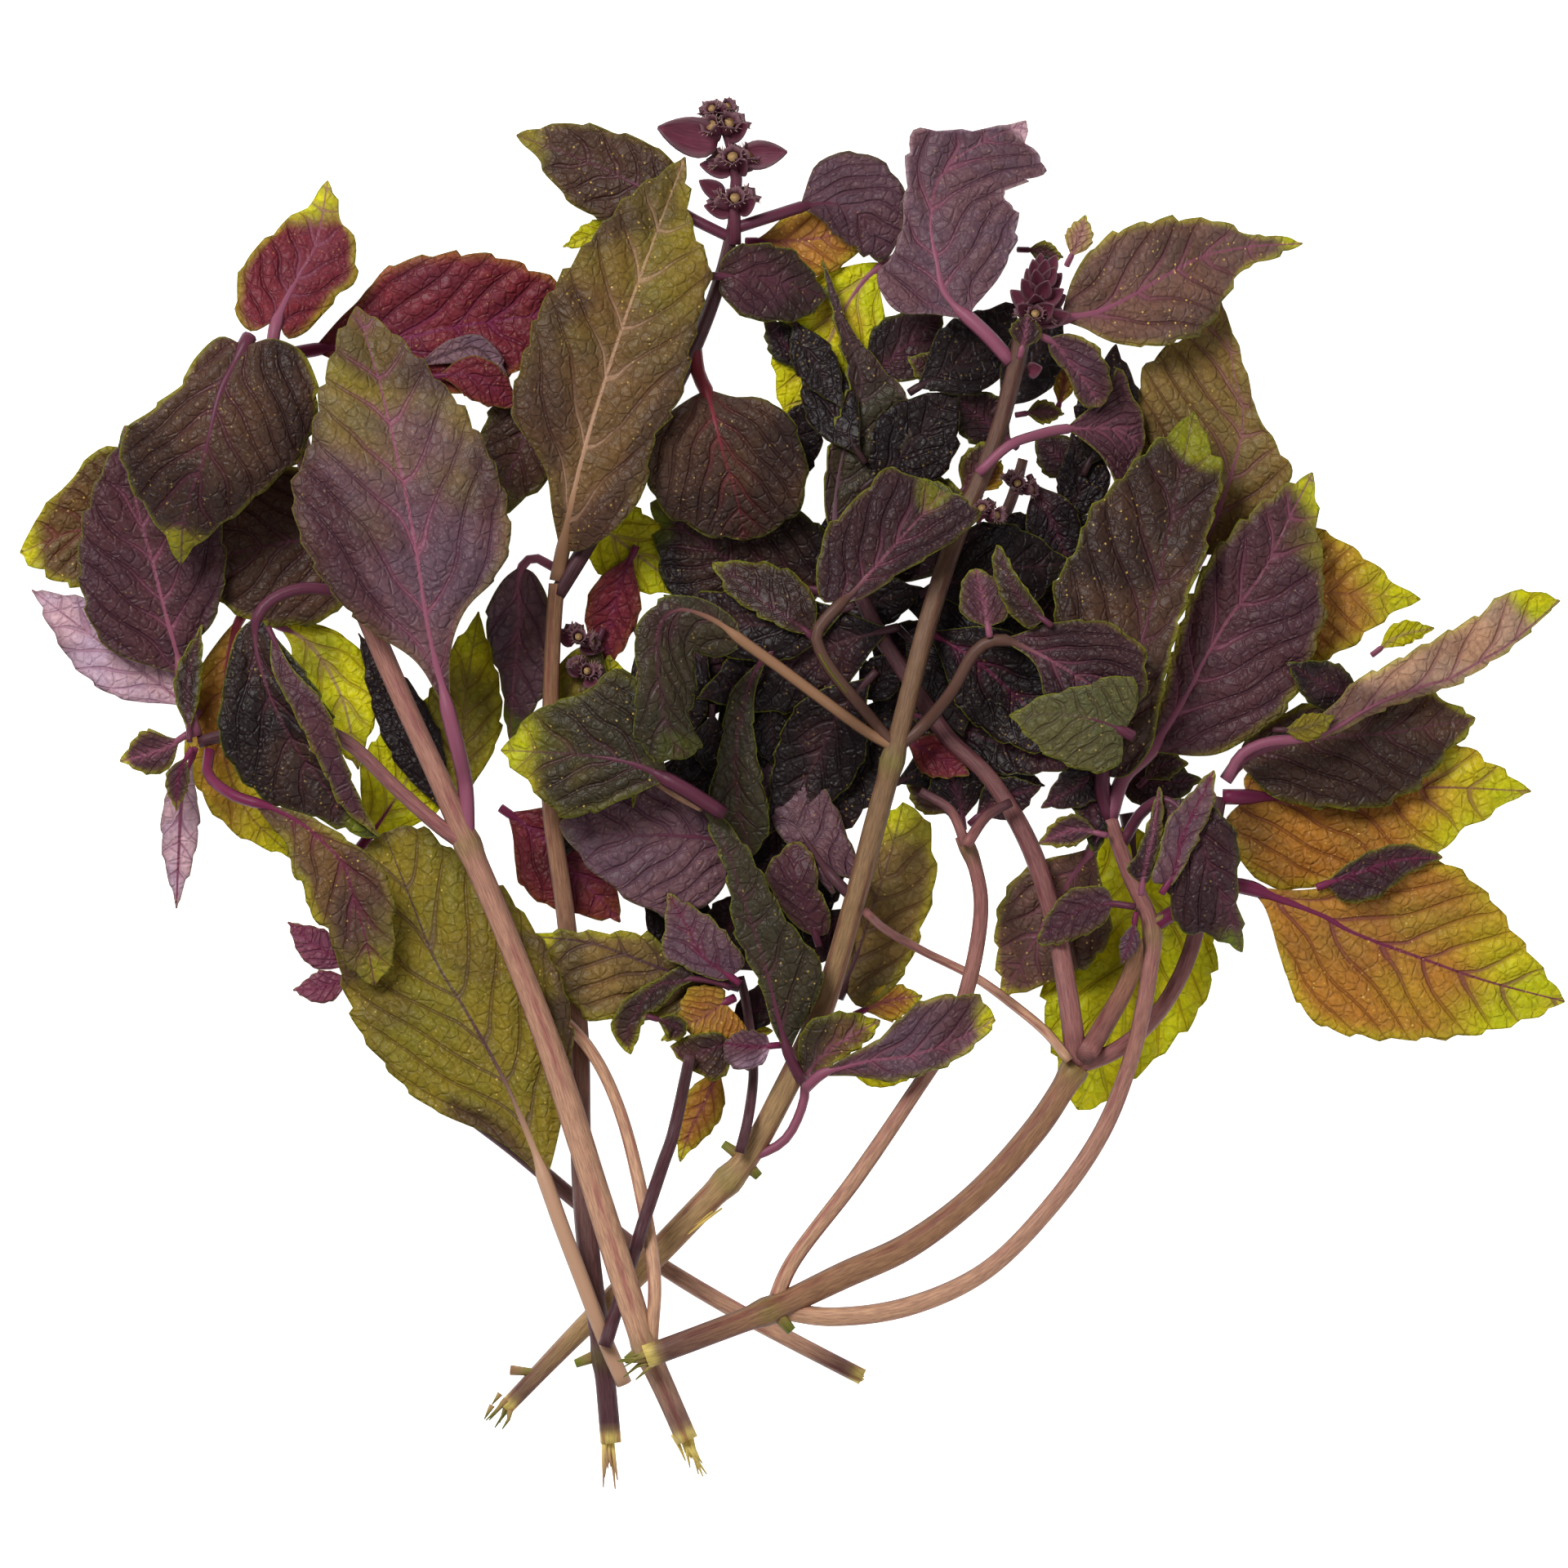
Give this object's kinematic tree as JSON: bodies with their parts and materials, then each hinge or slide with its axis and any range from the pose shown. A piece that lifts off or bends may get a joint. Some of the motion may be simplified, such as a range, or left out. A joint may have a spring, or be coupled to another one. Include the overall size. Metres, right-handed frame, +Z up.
{
  "type": "purple basil bunch",
  "caption": "Loose bunch of freshly cut purple basil lying flat: ribbed stems crossing at their cut ends, veined oval leaves and small flower spikes.",
  "frame": {"origin": "middle of the bunch's box in plan, on the surface that it lies on", "axes": "+Z up from that surface, through the bunch's least size; +X across the bunch, its longest size; +Y from the cut stem ends to the leafy top"},
  "size_m": [0.2833, 0.2462, 0.0333],
  "materials": {
    "dark_leaf": "satin, near-black purple upper side with a yellow-green rim",
    "purple_leaf": "satin, dusky purple with pinker veins",
    "olive_leaf": "satin, olive-brown with a yellow-green tip and rim",
    "lime_leaf": "satin, yellow-green with purple veins",
    "amber_leaf": "satin, amber to yellow-green with magenta veins and fine speckles",
    "crimson_leaf": "satin, crimson with magenta veins",
    "green_leaf": "satin, dark grey-green with a pale rim",
    "pale_leaf": "matt underside, pinkish grey with raised veins",
    "stem": "satin, ribbed, tan to mauve-brown",
    "shoot": "satin, ribbed, purple-mauve",
    "flower": "matt, hairy, dark purple bracts and flower cups"
  },
  "bodies": {
    "root": {"lime_right_leaf": "lime_leaf", "amber_right_leaf": "amber_leaf", "pale_left_leaf": "amber_leaf", "lime_left_leaf": "lime_leaf", "lime_centre_leaf": "lime_leaf", "far_left_leaf": "amber_leaf", "hidden_right_leaf": "amber_leaf", "glowing_right_leaf": "amber_leaf", "crimson_left_leaf": "crimson_leaf", "amber_middle_leaf": "lime_leaf", "slanting_stem": "stem", "pointed_left_leaf": "crimson_leaf", "round_left_leaf": "dark_leaf", "hanging_left_leaf": "purple_leaf", "brown_right_leaf": "amber_leaf", "dark_right_leaf": "dark_leaf", "upper_middle_leaf": "dark_leaf", "upper_left_leaf": "olive_leaf", "curled_left_leaf": "purple_leaf", "right_rising_stem": "shoot", "brown_centre_leaf": "dark_leaf", "narrow_middle_leaf": "purple_leaf", "grey_middle_leaf": "green_leaf", "centre_stem": "stem", "back_stem": "stem", "thin_shoot": "shoot", "veined_lower_leaf": "amber_leaf", "flat_middle_leaf": "purple_leaf", "long_middle_leaf": "green_leaf", "large_lower_leaf": "olive_leaf", "left_shoot": "shoot", "folded_left_leaf": "dark_leaf", "left_stem": "stem", "right_stem": "stem", "right_side_stem": "stem", "inner_stem": "stem", "outer_stem": "stem", "bright_right_leaf": "lime_leaf", "top_shoot": "shoot", "pendent_right_leaf": "dark_leaf", "round_top_leaf": "green_leaf", "ribbed_centre_leaf": "green_leaf", "green_middle_leaf": "olive_leaf", "curled_middle_leaf": "dark_leaf", "small_lower_leaf": "olive_leaf", "rolled_lower_leaf": "purple_leaf", "purple_centre_leaf": "purple_leaf", "purple_right_leaf": "purple_leaf", "tall_right_leaf": "olive_leaf", "side_centre_leaf": "purple_leaf", "green_right_leaf": "green_leaf", "folded_right_leaf": "pale_leaf", "upper_right_leaf": "amber_leaf", "curled_top_leaf": "purple_leaf", "drooping_left_leaf": "dark_leaf", "amber_left_leaf": "amber_leaf", "broad_left_leaf": "purple_leaf", "tall_front_leaf": "olive_leaf", "top_flower_spike": "flower", "right_flower_spike": "flower"}
  },
  "joints": []
}
